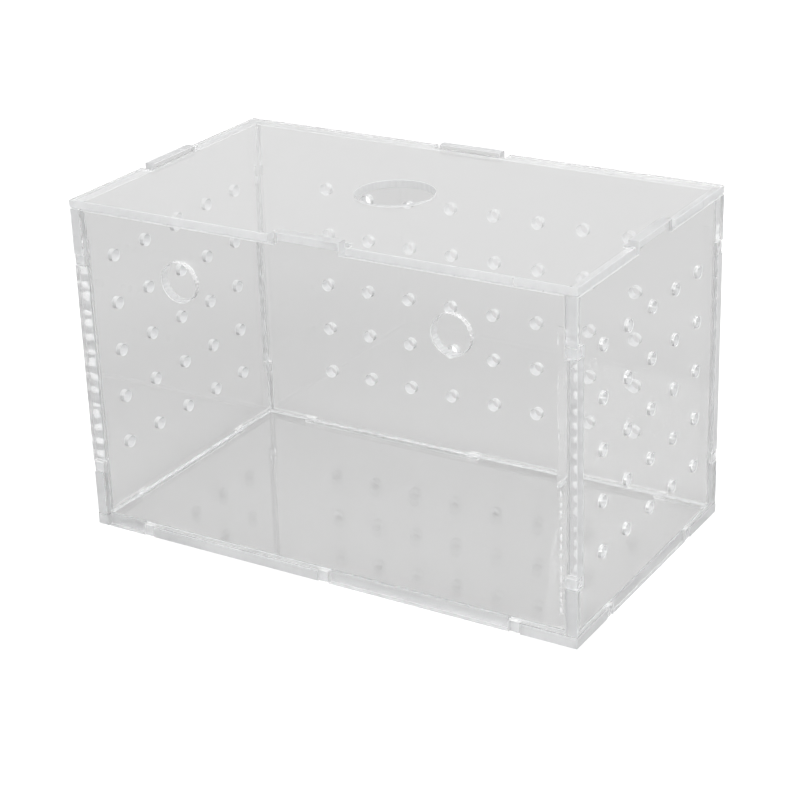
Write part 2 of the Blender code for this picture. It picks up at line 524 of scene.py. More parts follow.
@dataclass
class Sheet:
    """One laser-cut sheet: an outline with square corners, round holes and a thickness."""

    name: str
    node: str
    body: Body
    slot: Slot
    outline: list[Vector]
    holes: list[Hole]
    thickness: float
    placement: Matrix
    seed: float
    face: Look = Look.POLISHED
    bore: Look = Look.BORED
    crease: float = 32.0
    laser: LaserCut = field(default_factory=LaserCut)

    def outline_cut(self) -> list[CutPoint]:
        """Points round the outline, closer together than the laser's waves.

        Returns:
            The points, counter-clockwise.
        """
        laser = self.laser
        found = []
        run = 0.0
        for i, start in enumerate(self.outline):
            before = (start - self.outline[i - 1]).normalized()
            ahead = self.outline[(i + 1) % len(self.outline)] - start
            along = ahead.normalized()
            inward = Vector((-along.y, along.x))
            found.append(CutPoint(start, inward + Vector((-before.y, before.x)), 0.0, run))
            steps = max(1, round(ahead.length / laser.step))
            for k in range(1, steps):
                place = run + ahead.length * k / steps
                depth = laser.depth(place, laser.wave_pitch, laser.wave_depth, self.seed)
                found.append(CutPoint(start + ahead * (k / steps), inward, depth, place))
            run += ahead.length
        return found

    def cap_triangles(self, layer: list[list[bmesh.types.BMVert]]) -> list[list[int]]:
        """Triangles that fill the sheet's face between its outline and its holes.

        Args:
            layer: Rings of vertices, the outline first.

        Returns:
            Counter-clockwise triangles of indices into the rings laid end to end.
        """
        rings = [[vertex.co.xy for vertex in ring] for ring in layer]
        spots = [spot for ring in rings for spot in ring]
        edges = []
        for ring in rings:
            first = len(edges)
            edges += [(first + i, first + (i + 1) % len(ring)) for i in range(len(ring))]
        inside_outline = 1
        _, _, faces, sources, _, _ = delaunay_2d_cdt(
            spots, edges, [], inside_outline, self.laser.merge
        )
        kept = []
        for face in faces:
            triangle = [sources[index][0] for index in face]
            middle = sum((spots[index] for index in triangle), Vector((0.0, 0.0))) / 3
            if not any(encloses(ring, middle) for ring in rings[1:]):
                kept.append(triangle)
        return kept

    def mesh(self) -> bmesh.types.BMesh:
        """Builds the closed mesh of the sheet in its own frame.

        Returns:
            The mesh, with its zones as material slots.
        """
        cuts = [self.outline_cut()]
        cuts += [hole.cut(self.laser, self.seed + k) for k, hole in enumerate(self.holes)]
        chamfer = self.laser.chamfer
        levels = (
            (0.0, chamfer),
            (chamfer, 0.0),
            (self.thickness - chamfer, 0.0),
            (self.thickness, chamfer),
        )
        body = bmesh.new()
        run_layer = body.loops.layers.float.new(RUN)
        layers = []
        for height, inset in levels:
            layer = []
            for cut in cuts:
                spots = [point.spot + point.inward * (inset + point.depth) for point in cut]
                layer.append([body.verts.new((spot.x, spot.y, height)) for spot in spots])
            layers.append(layer)
        for zones, low, high in zip(
            ((Zone.CHAMFER, Zone.CHAMFER), (Zone.EDGE, Zone.BORE), (Zone.CHAMFER, Zone.CHAMFER)),
            layers, layers[1:],
        ):
            for number, (cut, low_ring, high_ring) in enumerate(zip(cuts, low, high)):
                for i, point in enumerate(cut):
                    j = (i + 1) % len(cut)
                    wall = body.faces.new((low_ring[i], low_ring[j], high_ring[j], high_ring[i]))
                    wall.material_index = zones[min(number, 1)]
                    wall.smooth = True
                    step = (cut[j].spot - point.spot).length
                    for loop, run in zip(wall.loops, (0.0, step, step, 0.0)):
                        loop[run_layer] = point.run + run
        for layer, turn in ((layers[0], -1), (layers[-1], 1)):
            flat = [vertex for ring in layer for vertex in ring]
            for triangle in self.cap_triangles(layer):
                body.faces.new([flat[index] for index in triangle][::turn])
        bmesh.ops.recalc_face_normals(body, faces=body.faces)
        return body

    def build(self, materials: Materials) -> bpy.types.Object:
        """Places the sheet and gives it its body and finishes.

        Args:
            materials: The material of each finish.

        Returns:
            The finished piece.
        """
        looks = (self.face, Look.CUT, self.bore, Look.EDGE)
        used = [materials[look] for look in looks]
        piece = link_mesh(self.name, self.mesh(), used, self.crease, self.placement)
        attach(piece, self.body.value)
        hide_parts(self.node)
        return piece


@dataclass(frozen=True)
class Joinery:
    """Fingers, tabs and clearances that the sheets share."""

    corner_finger: float = 0.0150
    long_end_finger: float = 0.0150
    short_end_finger: float = 0.0160
    relief: float = 0.0030
    glue_line: float = 0.0003
    lid_seat_gap: float = 0.0003
    tab_length: float = 0.0180
    lid_side_slack: float = 0.0003
    lid_end_slack: float = 0.00175


@dataclass(frozen=True)
class HoleGrid:
    """The square grid of water holes."""

    diameter: float = 0.0030
    pitch: float = 0.0130
    rows: int = 5
    sides: int = 48
    waves: int = 8
    wave_depth: float = 0.00004

    def holes(self, columns: int, middle: float) -> list[Hole]:
        """Holes of one sheet.

        Args:
            columns: How many stand side by side.
            middle: Height of the middle row.

        Returns:
            The holes, column by column.
        """
        found = []
        for column in range(columns):
            for row in range(self.rows):
                across = (column - (columns - 1) / 2) * self.pitch
                up = middle + (row - (self.rows - 1) / 2) * self.pitch
                found.append(Hole(
                    Vector((across, up)), self.diameter, self.sides, self.waves, self.wave_depth
                ))
        return found


def points(*pairs: tuple[float, float]) -> list[Vector]:
    """Corners of an outline as vectors."""
    return [Vector(pair) for pair in pairs]


def twice(half: list[Vector], middle: float) -> list[Vector]:
    """Completes an outline with its first half turned about the middle."""
    return half + [Vector((-corner.x, 2 * middle - corner.y)) for corner in half]


@dataclass
class Tank:
    """The five glued sheets."""

    joinery: Joinery = field(default_factory=Joinery)
    grid: HoleGrid = field(default_factory=HoleGrid)
    suction_diameter: float = 0.0100
    suction_spacing: float = 0.0760
    suction_drop: float = 0.0175
    suction_sides: int = 162
    suction_waves: int = 27
    suction_wave_depth: float = 0.00010
    back_columns: int = 8
    side_columns: int = 5

    def __post_init__(self) -> None:
        """Reads the overall sizes from the frame."""
        low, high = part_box("front_wall")
        self.half_length = high.x
        self.height = high.z
        self.wall = high.y - low.y
        floor_low, floor_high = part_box("floor_panel")
        self.half_depth = floor_high.y
        self.floor = floor_high.z - floor_low.z
        self.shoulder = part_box("lid")[0].z - self.joinery.lid_seat_gap
        self.in_x = self.half_length - self.wall
        self.in_y = self.half_depth - self.wall

    def long_outline(self) -> list[Vector]:
        """Draws the front and back walls, seen from outside.

        Returns:
            The outline.
        """
        j = self.joinery
        side = self.half_length
        inner = self.in_x - j.glue_line
        slot = j.corner_finger + j.relief
        step = self.floor + j.glue_line
        end = side - j.long_end_finger
        near = j.relief / 2
        tab = j.tab_length / 2
        top = self.height
        return points(
            (-inner, 0.0), (-end, 0.0), (-end, step), (near, step), (near, 0.0),
            (end - j.relief, 0.0), (end - j.relief, step), (inner, step),
            (inner, slot), (side, slot), (side, top - slot), (inner, top - slot),
            (inner, self.shoulder), (tab, self.shoulder), (tab, top),
            (-tab, top), (-tab, self.shoulder), (-inner, self.shoulder),
            (-inner, top - slot), (-side, top - slot), (-side, slot), (-inner, slot),
        )

    def short_outline(self) -> list[Vector]:
        """Draws the left and right walls, seen from outside.

        Returns:
            The outline.
        """
        j = self.joinery
        side = self.half_depth
        inner = self.in_y - j.glue_line
        step = self.floor + j.glue_line
        foot = side - j.short_end_finger - j.relief
        tab = j.tab_length / 2
        top = self.height
        return points(
            (-foot, 0.0), (foot, 0.0), (foot, step), (side, step),
            (side, j.corner_finger), (inner, j.corner_finger),
            (inner, top - j.corner_finger), (side, top - j.corner_finger),
            (side, self.shoulder), (tab, self.shoulder), (tab, top),
            (-tab, top), (-tab, self.shoulder), (-side, self.shoulder),
            (-side, top - j.corner_finger), (-inner, top - j.corner_finger),
            (-inner, j.corner_finger), (-side, j.corner_finger), (-side, step), (-foot, step),
        )

    def floor_outline(self) -> list[Vector]:
        """Draws the floor, seen from above, with the front edge at zero depth.

        Returns:
            The outline.
        """
        j = self.joinery
        side = self.half_length
        inner = self.in_x - j.glue_line
        post = self.in_x
        step = self.wall + j.glue_line
        end = side - j.long_end_finger
        near = j.relief / 2
        middle = self.half_depth
        short = middle - (self.half_depth - j.short_end_finger)
        return twice(points(
            (-side, 0.0), (-post, 0.0), (-post, step), (j.relief - end, step),
            (j.relief - end, 0.0), (-near, 0.0), (-near, step), (end, step), (end, 0.0),
            (side, 0.0), (side, short), (inner, short), (inner, 2 * middle - short),
            (side, 2 * middle - short),
        ), middle)

    def build(self, materials: Materials) -> list[bpy.types.Object]:
        """Builds the five sheets.

        Args:
            materials: The material of each finish.

        Returns:
            The finished pieces.
        """
        quarter = math.pi / 2
        lift = self.height - self.suction_drop
        suction = [
            Hole(
                Vector((side * self.suction_spacing / 2, lift)), self.suction_diameter,
                self.suction_sides, self.suction_waves, self.suction_wave_depth,
            )
            for side in (-1, 1)
        ]
        back = self.grid.holes(self.back_columns, self.height / 2)
        sides = self.grid.holes(self.side_columns, self.height / 2)
        long, short = self.long_outline(), self.short_outline()
        plans = (
            ("floor_panel", Slot.FLOOR, self.floor_outline(), [], self.floor,
             (0.0, -self.half_depth, 0.0), Euler(), Look.BORED),
            ("front_wall", Slot.FRONT, long, suction, self.wall,
             (0.0, -self.in_y, 0.0), Euler((quarter, 0.0, 0.0)), Look.SPARKLING),
            ("back_wall", Slot.BACK, long, back, self.wall,
             (0.0, self.in_y, 0.0), Euler((quarter, 0.0, 2 * quarter)), Look.BORED),
            ("left_wall", Slot.SIDE, short, sides, self.wall,
             (-self.in_x, 0.0, 0.0), Euler((quarter, 0.0, -quarter)), Look.BORED),
            ("right_wall", Slot.SIDE, short, sides, self.wall,
             (self.in_x, 0.0, 0.0), Euler((quarter, 0.0, quarter)), Look.SPARKLING),
        )
        made = []
        for seed, (node, slot, outline, holes, thickness, place, turn, bore) in enumerate(plans):
            placement = Matrix.Translation(place) @ turn.to_matrix().to_4x4()
            name = node.split("_")[0] + "_sheet"
            made.append(Sheet(
                name, node, Body.TANK, slot, outline, holes, thickness, placement, seed, bore=bore
            ).build(materials))
        return made


@dataclass
class Lid:
    """The loose lid with its feeding hole."""

    joinery: Joinery = field(default_factory=Joinery)
    hole_diameter: float = 0.0200
    hole_sides: int = 216
    hole_waves: int = 54
    hole_wave_depth: float = 0.00004
    seed: float = 9.0

    def build(self, materials: Materials) -> bpy.types.Object:
        """Builds the lid.

        Args:
            materials: The material of each finish.

        Returns:
            The finished piece.
        """
        low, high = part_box("lid")
        wall_low, wall_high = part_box("front_wall")
        side = high.x
        middle = high.y
        reach = wall_high.y - wall_low.y + self.joinery.lid_side_slack
        slot = self.joinery.tab_length / 2 + self.joinery.lid_end_slack
        outline = twice(points(
            (-side, 0.0), (-slot, 0.0), (-slot, reach), (slot, reach), (slot, 0.0), (side, 0.0),
            (side, middle - slot), (side - reach, middle - slot),
            (side - reach, middle + slot), (side, middle + slot),
        ), middle)
        hole = Hole(
            Vector((0.0, middle)), self.hole_diameter, self.hole_sides, self.hole_waves,
            self.hole_wave_depth,
        )
        # The lid's faces take that darker copy, painted shade.
        return Sheet(
            "lid_sheet", "lid", Body.LID, Slot.LID, outline, [hole], high.z - low.z,
            Matrix.Translation((0.0, -middle, low.z)), self.seed, Look.LID,
        ).build(materials)


class Part:
    """A body of glue, skinned over a row of rings."""

    def rings(self) -> list[list[Vector]]:
        """Draws the rings, all with the same number of points."""
        raise NotImplementedError

    def add_to(self, body: bmesh.types.BMesh) -> None:
        """Skins the rings and closes both ends.

        Args:
            body: Mesh that they go into.
        """
        rings = [[body.verts.new(spot) for spot in ring] for ring in self.rings()]
        for low, high in zip(rings, rings[1:]):
            for i in range(len(low)):
                j = (i + 1) % len(low)
                body.faces.new((low[i], low[j], high[j], high[i]))
        body.faces.new(rings[0])
        body.faces.new(rings[-1][::-1])


@dataclass(frozen=True)
class Bead(Part):
    """A fillet of glue along the inner corner of two sheets, uneven in width."""

    start: Vector
    end: Vector
    first_way: Vector
    second_way: Vector
    width: float
    seed: float
    unevenness: float = 0.15
    side_seed: float = 7.0
    step: float = 0.0006
    overlap: float = 0.00001
    arc_points: int = 5
    hollow: float = 0.9
    lump_length: float = 0.0042

    def rings(self) -> list[list[Vector]]:
        """Draws the fillet.

        Returns:
            Its rings from start to end.
        """
        length = (self.end - self.start).length
        count = max(2, round(length / self.step))
        rings = []
        for i in range(count + 1):
            run = length * i / count
            spot = self.start.lerp(self.end, i / count)
            spot -= self.overlap * (self.first_way + self.second_way)
            widths = []
            for side in range(2):
                place = Vector((run / self.lump_length, self.seed + self.side_seed * side, 0.0))
                widths.append(self.width * (1 + self.unevenness * 2 * noise.noise(place)))
            if i in (0, count):
                widths = [width / 3 for width in widths]
            ring = [spot]
            for k in range(self.arc_points):
                share = k / (self.arc_points - 1)
                sag = 1 - self.hollow * share * (1 - share)
                along = self.first_way * (widths[0] * (1 - share))
                along += self.second_way * (widths[1] * share)
                ring.append(spot + along * sag)
            rings.append(ring)
        return rings


@dataclass(frozen=True)
class Dab(Part):
    """A flat drop of glue caught between two sheets, between an oval and a rounded block."""

    centre: Vector
    across: Vector
    along: Vector
    thickness: float
    seed: float
    points: int = 14
    raggedness: float = 0.28
    ragged_pace: float = 1.3
    squareness: float = 0.55
    levels: tuple[Range, ...] = ((-1.0, 0.80), (-0.4, 1.0), (0.4, 1.0), (1.0, 0.80))

    def rings(self) -> list[list[Vector]]:
        """Draws the drop.

        Returns:
            Its rings from one flat side to the other.
        """
        through = self.across.cross(self.along).normalized() * self.thickness / 2
        pace = self.ragged_pace
        rings = []
        for level, reach in self.levels:
            ring = []
            for i in range(self.points):
                angle = 2 * math.pi * i / self.points
                place = Vector((pace * math.cos(angle), pace * math.sin(angle), self.seed))
                size = reach * (1 + self.raggedness * noise.noise(place) * 2)
                turn = Vector((math.cos(angle), math.sin(angle)))
                size *= max(abs(turn.x), abs(turn.y)) ** -self.squareness
                spot = self.across * (turn.x * size / 2) + self.along * (turn.y * size / 2)
                ring.append(self.centre + spot + through * level)
            rings.append(ring)
        return rings


@dataclass(frozen=True)
class Lump(Part):
    """A rounded lump of glue in the gap between two fingers."""

    centre: Vector
    half: Vector
    seed: float
    levels: int = 11
    points: int = 24
    pole_share: float = 0.15
    squareness: float = 0.16
    raggedness: float = 0.06
    ragged_pace: float = 1.6

    def rounded(self, value: float) -> float:
        """Pushes a sine or cosine towards -1 or 1, which turns a ball into a rounded block."""
        return math.copysign(abs(value) ** self.squareness, value)

    def rings(self) -> list[list[Vector]]:
        """Draws the lump.

        Returns:
            Its rings from bottom to top.
        """
        shift = Vector((self.seed, 0.0, 0.0))
        last_level = self.levels - 1 + 2 * self.pole_share
        rings = []
        for level in range(self.levels):
            rise = math.pi * ((level + self.pole_share) / last_level - 0.5)
            ring = []
            for i in range(self.points):
                turn = 2 * math.pi * (i + 0.5) / self.points
                reach = self.rounded(math.cos(rise))
                spot = Vector((
                    reach * self.rounded(math.cos(turn)),
                    reach * self.rounded(math.sin(turn)),
                    self.rounded(math.sin(rise)),
                ))
                dent = noise.noise(spot * self.ragged_pace + shift) - 0.5
                spot *= 1 + self.raggedness * dent
                scaled = Vector(a * b for a, b in zip(spot, self.half))
                ring.append(self.centre + scaled)
            rings.append(ring)
        return rings


@dataclass(frozen=True)
class Film(Part):
    """A thin film of glue that crept out of a corner over the inner face of a long wall."""

    corner: Vector
    way_x: int
    way_y: int
    top: float
    width: float
    seed: float
    thickness: float = 0.00006
    end_thickness: float = 3.0
    step: float = 0.0012
    overlap: float = 0.00002
    creep: float = 0.12
    creep_length: float = 0.011

    def rings(self) -> list[list[Vector]]:
        """Draws the film.

        Returns:
            Its rings from bottom to top.
        """
        inward = Vector((0.0, -self.way_y, 0.0))
        aside = Vector((-self.way_x, 0.0, 0.0))
        count = round((self.top - self.corner.z) / self.step)
        rings = []
        for i in range(count + 1):
            z = self.corner.z + (self.top - self.corner.z) * i / count
            dent = noise.noise(Vector((z / self.creep_length, self.seed, 0.0)))
            reach = self.width * (1 + self.creep * dent)
            thick = self.thickness * (self.end_thickness if i == count else 1.0)
            near = Vector((self.corner.x, self.corner.y, z)) - self.overlap * (inward + aside)
            far = near + aside * reach
            rings.append([
                near, far, far - aside * thick + inward * thick, near + inward * thick
            ])
        return rings


@dataclass(frozen=True)
class Layer(Part):
    """A layer of glue that fills the joint between two sheets, ragged along its open edge."""

    start: Vector
    end: Vector
    across: Vector
    gap: float
    seed: float
    inner_far: bool = False
    inset: float = 0.00001
    bite: float = 0.00006
    raggedness: float = 0.00003
    ragged_length: float = 0.0021
    side_seed: float = 9.0
    overlap: float = 0.00001
    step: float = 0.0010

    def rings(self) -> list[list[Vector]]:
        """Draws the layer.

        Returns:
            Its rings from start to end.
        """
        along = self.end - self.start
        way = self.across.normalized()
        ahead = along.normalized()
        through = ahead.cross(way) * (self.gap / 2 + self.overlap)
        length = along.length - 2 * self.inset
        count = max(2, round(length / self.step))
        rings = []
        for i in range(count + 1):
            run = length * i / count
            spot = self.start + ahead * (self.inset + run)
            dents = []
            for side in range(2):
                place = Vector((run / self.ragged_length, self.seed + self.side_seed * side, 0.0))
                open_dent = self.inset + self.raggedness * (0.5 + 0.5 * noise.noise(place))
                dents.append(-self.bite if side == int(self.inner_far) else open_dent)
            near = spot + way * dents[0]
            far = spot + self.across - way * dents[1]
            rings.append([near - through, far - through, far + through, near + through])
        return rings


@dataclass(frozen=True)
class BubbleRow:
    """An uneven row of small bubbles along a joint; size is length, width and thickness."""

    start: Vector
    end: Vector
    across: Vector
    pitch: float
    size: Vector
    seed: int
    stretch: Range = (0.5, 1.8)
    breadth: Range = (0.7, 1.2)
    spacing: Range = (0.5, 1.5)
    room: float = 1.3
    last_seed: float = 90.0

    def dabs(self) -> list[Dab]:
        """Draws the row at random, always the same from its seed.

        Returns:
            The bubbles.
        """
        dice = Random(self.seed)
        length, width, thickness = self.size
        way = (self.end - self.start).normalized()
        row = []
        run = dice.uniform(0.0, self.pitch)
        while run < (self.end - self.start).length:
            stretch = dice.uniform(*self.stretch)
            row.append(Dab(
                self.start + way * run, self.across * width * dice.uniform(*self.breadth),
                way * length * stretch, thickness, dice.uniform(0.0, self.last_seed),
            ))
            run += max(length * stretch * self.room, self.pitch * dice.uniform(*self.spacing))
        return row


@dataclass
class Glue:
    """The glue that shows in the tank's joints."""

    tank: Tank
    fillet: float = 0.00065
    post_fillet: float = 0.9
    rung_pitch: float = 0.0037
    rung_height: float = 0.0018
    rung_share: float = 0.92
    rung_middle: float = 0.5
    dash_share: float = 0.40
    dash_middle: float = 0.46
    rung_shake: float = 0.35
    rung_drift: float = 0.0002
    rung_spread: float = 0.15
    rung_stretch: float = 0.7
    shake_pace: Place = (1.7, 5.3, 0.5)
    drift_pace: Place = (2.3, 3.1, 9.5)
    row_seed: float = 31.0
    rung_seed: float = 1.9
    upper_rises: Range = (0.0010, 0.0034)
    upper_share: float = 0.8
    dab_thickness: float = 0.00018
    bubble_inset: float = 0.0022
    film_reach: Range = (0.0012, 0.0031)
    film_top: float = 0.0788
    lump_inset: float = 0.00010
    lump_overlap: float = 0.00001
    crease: float = 50.0
    margin: float = 0.00001

    def __post_init__(self) -> None:
        """Works out where the joints run."""
        tank = self.tank
        joinery = tank.joinery
        self.gap = joinery.glue_line
        self.relief = joinery.relief
        self.finger = joinery.corner_finger
        self.end = tank.half_length - joinery.long_end_finger
        self.foot = tank.half_depth - joinery.short_end_finger

    def piece(
        self, name: str, parts: list[Part], material: bpy.types.Material
    ) -> bpy.types.Object:
        """Makes one piece of several beads or dabs, kept just inside the box.

        Args:
            name: Name of the piece.
            parts: What it is made of.
            material: Its finish.

        Returns:
            The finished piece.
        """
        body = bmesh.new()
        for part in parts:
            part.add_to(body)
        for vertex in body.verts:
            vertex.co = Vector(
                min(max(value, low + self.margin), high - self.margin)
                for value, low, high in zip(vertex.co, *CAD_BOX)
            )
        bmesh.ops.recalc_face_normals(body, faces=body.faces)
        for face in body.faces:
            face.smooth = True
        piece = link_mesh(name, body, [material], self.crease, Matrix())
        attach(piece, Body.TANK.value)
        return piece

    def floor_seams(self) -> list[Bead]:
        """Draws fillets along the floor's four sides.

        Returns:
            The fillets.
        """
        x, y, z = self.tank.in_x, self.tank.in_y, self.tank.floor
        runs = (
            ((-x, -y), (x, -y), (0.0, 1.0)), ((-x, y), (x, y), (0.0, -1.0)),
            ((-x, -y), (-x, y), (1.0, 0.0)), ((x, -y), (x, y), (-1.0, 0.0)),
        )
        return [
            Bead(
                Vector((*start, z)), Vector((*end, z)), Vector((*way, 0.0)), UP, self.fillet,
                Seed.FLOOR_SEAM + number,
            )
            for number, (start, end, way) in enumerate(runs)
        ]

    def post_seams(self) -> list[Bead]:
        """Draws fillets up the tank's four inner corners.

        Returns:
            The fillets.
        """
        tank = self.tank
        return [
            Bead(
                Vector((way_x * tank.in_x, way_y * tank.in_y, tank.floor + self.fillet)),
                Vector((way_x * tank.in_x, way_y * tank.in_y, tank.shoulder - self.fillet)),
                Vector((-way_x, 0.0, 0.0)), Vector((0.0, -way_y, 0.0)),
                self.fillet * self.post_fillet, Seed.POST_SEAM + number,
            )
            for number, (way_x, way_y) in enumerate(CORNERS)
        ]

    def rungs(self, way_x: int, way_y: int, number: int) -> list[Dab]:
        """Draws dabs between a long wall and the end of a short wall.

        Args:
            way_x: Side of the box along X, -1 or 1.
            way_y: Side of the box along Y, -1 or 1.
            number: Tells one row from another.

        Returns:
            The dabs, from bottom to top.
        """
        tank = self.tank
        low = self.finger + self.relief
        high = tank.height - low
        count = round((high - low) / self.rung_pitch)
        share = self.rung_share if way_x < 0 else self.dash_share
        middle = self.rung_middle if way_x < 0 else self.dash_middle
        x = way_x * (tank.half_length - tank.wall * middle)
        y = way_y * (tank.in_y - self.gap / 2)
        dabs = []
        for i in range(count):
            shake, more = (
                noise.noise(Vector((i * pace, number * row_pace, level)))
                for pace, row_pace, level in (self.shake_pace, self.drift_pace)
            )
            z = low + (i + 0.5 + self.rung_shake * shake) * (high - low) / count
            dabs.append(Dab(
                Vector((x + self.rung_drift * more, y, z)),
                Vector((tank.wall * share * (1 + self.rung_spread * more), 0.0, 0.0)),
                Vector((0.0, 0.0, self.rung_height * (1 + self.rung_stretch * shake))),
                self.dab_thickness, number * self.row_seed + i * self.rung_seed,
            ))
        return dabs

    def lump(self, first: Place, second: Place, seed: float) -> Lump:
        """Draws a lump that fills a gap and just bites into its walls.

        Args:
            first: One corner of the gap.
            second: The opposite corner.
            seed: Tells one lump from another.

        Returns:
            The lump.
        """
        low = Vector(map(min, first, second))
        high = Vector(map(max, first, second))
        bite = Vector((self.lump_overlap,) * 3)
        return Lump((low + high) / 2, (high - low) / 2 + bite, seed)

    def corner_lumps(self) -> list[Lump]:
        """Draws lumps in the gaps above and below the long walls' fingers.

        Returns:
            The lumps at all four corners.
        """
        tank = self.tank
        x, y = tank.in_x - self.gap, tank.in_y - self.gap
        out_x, out_y = tank.half_length - self.lump_inset, tank.half_depth - self.lump_inset
        return [
            self.lump(
                (way_x * x, way_y * y, z), (way_x * out_x, way_y * out_y, z + self.relief),
                number * 11.0 + z * 100,
            )
            for number, (way_x, way_y) in enumerate(CORNERS)
            for z in (self.finger, tank.height - self.finger - self.relief)
        ]

    def foot_lumps(self) -> list[Lump]:
        """Draws lumps in the gaps beside the floor's fingers.

        Returns:
            The lumps.
        """
        tank = self.tank
        low, step = self.lump_inset, tank.floor + self.gap
        x, y = tank.in_x - self.gap, tank.in_y - self.gap
        out_x, out_y = tank.half_length - self.lump_inset, tank.half_depth - self.lump_inset
        near = self.relief / 2
        found = []
        for number, centre in enumerate((near - self.end, 0.0, self.end - near)):
            for way in (-1, 1):
                first = (-way * centre - near, way * y, low)
                second = (-way * centre + near, way * out_y, step)
                found.append(self.lump(first, second, Seed.FOOT_LUMP + number * way))
        for number, way_y in enumerate((-1, 1)):
            for way_x in (-1, 1):
                first = (way_x * x, way_y * self.foot, low)
                second = (way_x * out_x, way_y * (self.foot - self.relief), step)
                found.append(self.lump(first, second, Seed.END_LUMP + number * way_x))
        return found

    def corner_layers(self) -> list[Layer]:
        """Draws layers in the upright joints at the tank's four corners.

        Returns:
            The layers.
        """
        tank, gap = self.tank, self.gap
        low = self.finger + self.relief
        lengths = ((tank.floor + gap, self.finger), (tank.height - self.finger, tank.shoulder))
        found = []
        for number, (way_x, way_y) in enumerate(CORNERS):
            x, behind = way_x * tank.in_x, way_y * (tank.in_y - gap / 2)
            found.append(Layer(
                Vector((x, behind, low)), Vector((x, behind, tank.height - low)),
                Vector((way_x * tank.wall, 0.0, 0.0)), gap, Seed.POST_LAYER + number,
            ))
            y, beside = way_y * tank.in_y, way_x * (tank.in_x - gap / 2)
            for start, end in lengths:
                found.append(Layer(
                    Vector((beside, y, start)), Vector((beside, y, end)),
                    Vector((0.0, way_y * tank.wall, 0.0)), gap,
                    Seed.FINGER_LAYER + number + start * 500,
                ))
        return found

    def foot_layers(self) -> list[Layer]:
        """Draws layers round the floor's edge, above its fingers and behind the walls' feet.

        Returns:
            The layers.
        """
        tank, gap, end = self.tank, self.gap, self.end
        level = tank.floor + gap / 2
        near = self.relief / 2
        inner = tank.in_x - gap
        reach = self.foot - self.relief
        up = UP * tank.floor
        found = []
        for way in (-1, 1):
            y, out_y = way * tank.in_y, way * tank.half_depth
            outward = Vector((0.0, way * tank.wall, 0.0))
            for low, high in ((self.relief - end, -near), (end, inner)):
                found.append(Layer(
                    Vector((-way * low, y, level)), Vector((-way * high, y, level)),
                    outward, gap, Seed.LONG_LAYER + way + low * 100,
                ))
            behind = way * (tank.in_y - gap / 2)
            for low, high in ((-inner, -end), (near, end - self.relief)):
                found.append(Layer(
                    Vector((-way * low, behind, 0.0)), Vector((-way * high, behind, 0.0)),
                    up, gap, Seed.LONG_FOOT_LAYER + way + low * 100, inner_far=True,
                ))
            beside = way * (tank.in_x - gap / 2)
            for first, last, seed in (
                (y, out_y, Seed.CORNER_FOOT_LAYER), (-reach, reach, Seed.SHORT_FOOT_LAYER)
            ):
                found.append(Layer(
                    Vector((beside, first, 0.0)), Vector((beside, last, 0.0)), up, gap,
                    seed + way, inner_far=True,
                ))
            x = way * tank.in_x
            for side in (-1, 1):
                foot, corner = side * self.foot, side * tank.half_depth
                found.append(Layer(
                    Vector((x, foot, level)), Vector((x, corner, level)),
                    Vector((way * tank.wall, 0.0, 0.0)), gap, Seed.SHORT_LAYER + way + 3 * side,
                ))
        return found

    def upper_dabs(self) -> list[Dab]:
        """Draws dabs between the end of a long wall and the short wall's upper finger.

        Returns:
            The dabs at all four corners.
        """
        tank = self.tank
        x = tank.in_x - self.gap / 2
        y = tank.half_depth - tank.wall / 2
        z = tank.height - self.finger
        return [
            Dab(
                Vector((way_x * x, way_y * y, z + rise)),
                Vector((0.0, tank.wall * self.upper_share, 0.0)),
                UP * self.rung_height, self.dab_thickness,
                Seed.UPPER_DAB + number + rise * 1000,
            )
            for number, (way_x, way_y) in enumerate(CORNERS)
            for rise in self.upper_rises
        ]

    def films(self) -> list[Film]:
        """Draws films over the inner faces of the long walls, wider at the right.

        Returns:
            The films at the tank's four corners.
        """
        tank = self.tank
        found = []
        for number, (way_x, way_y) in enumerate(CORNERS):
            corner = Vector((way_x * tank.in_x, way_y * tank.in_y, tank.floor + self.fillet))
            width = self.film_reach[way_x > 0]
            found.append(Film(corner, way_x, way_y, self.film_top, width, Seed.FILM + number))
        return found

    def seam_bubbles(self) -> list[Dab]:
        """Draws bubbles between the front wall and the floor, and beside the right corner.

        Returns:
            The bubbles.
        """
        tank = self.tank
        level = tank.floor + self.gap / 2
        middle = tank.half_depth - tank.wall / 2
        flat = Vector((0.0016, 0.0009, self.dab_thickness))
        small = Vector((0.0012, 0.0005, self.dab_thickness))
        edge = tank.in_x - self.bubble_inset
        behind = -tank.in_y + self.gap / 2
        deep, wide = Vector((0.0, 1.0, 0.0)), Vector((1.0, 0.0, 0.0))
        rows = (
            ((-0.0500, -middle, level), (-0.0030, -middle, level), deep, 0.0030, flat, 21),
            ((0.0550, -middle, level), (0.0680, -middle, level), deep, 0.0030, flat, 22),
            ((edge, behind, 0.0060), (edge, behind, 0.0400), wide, 0.0022, small, 23),
        )
        return [
            dab for start, end, *rest in rows
            for dab in BubbleRow(Vector(start), Vector(end), *rest).dabs()
        ]

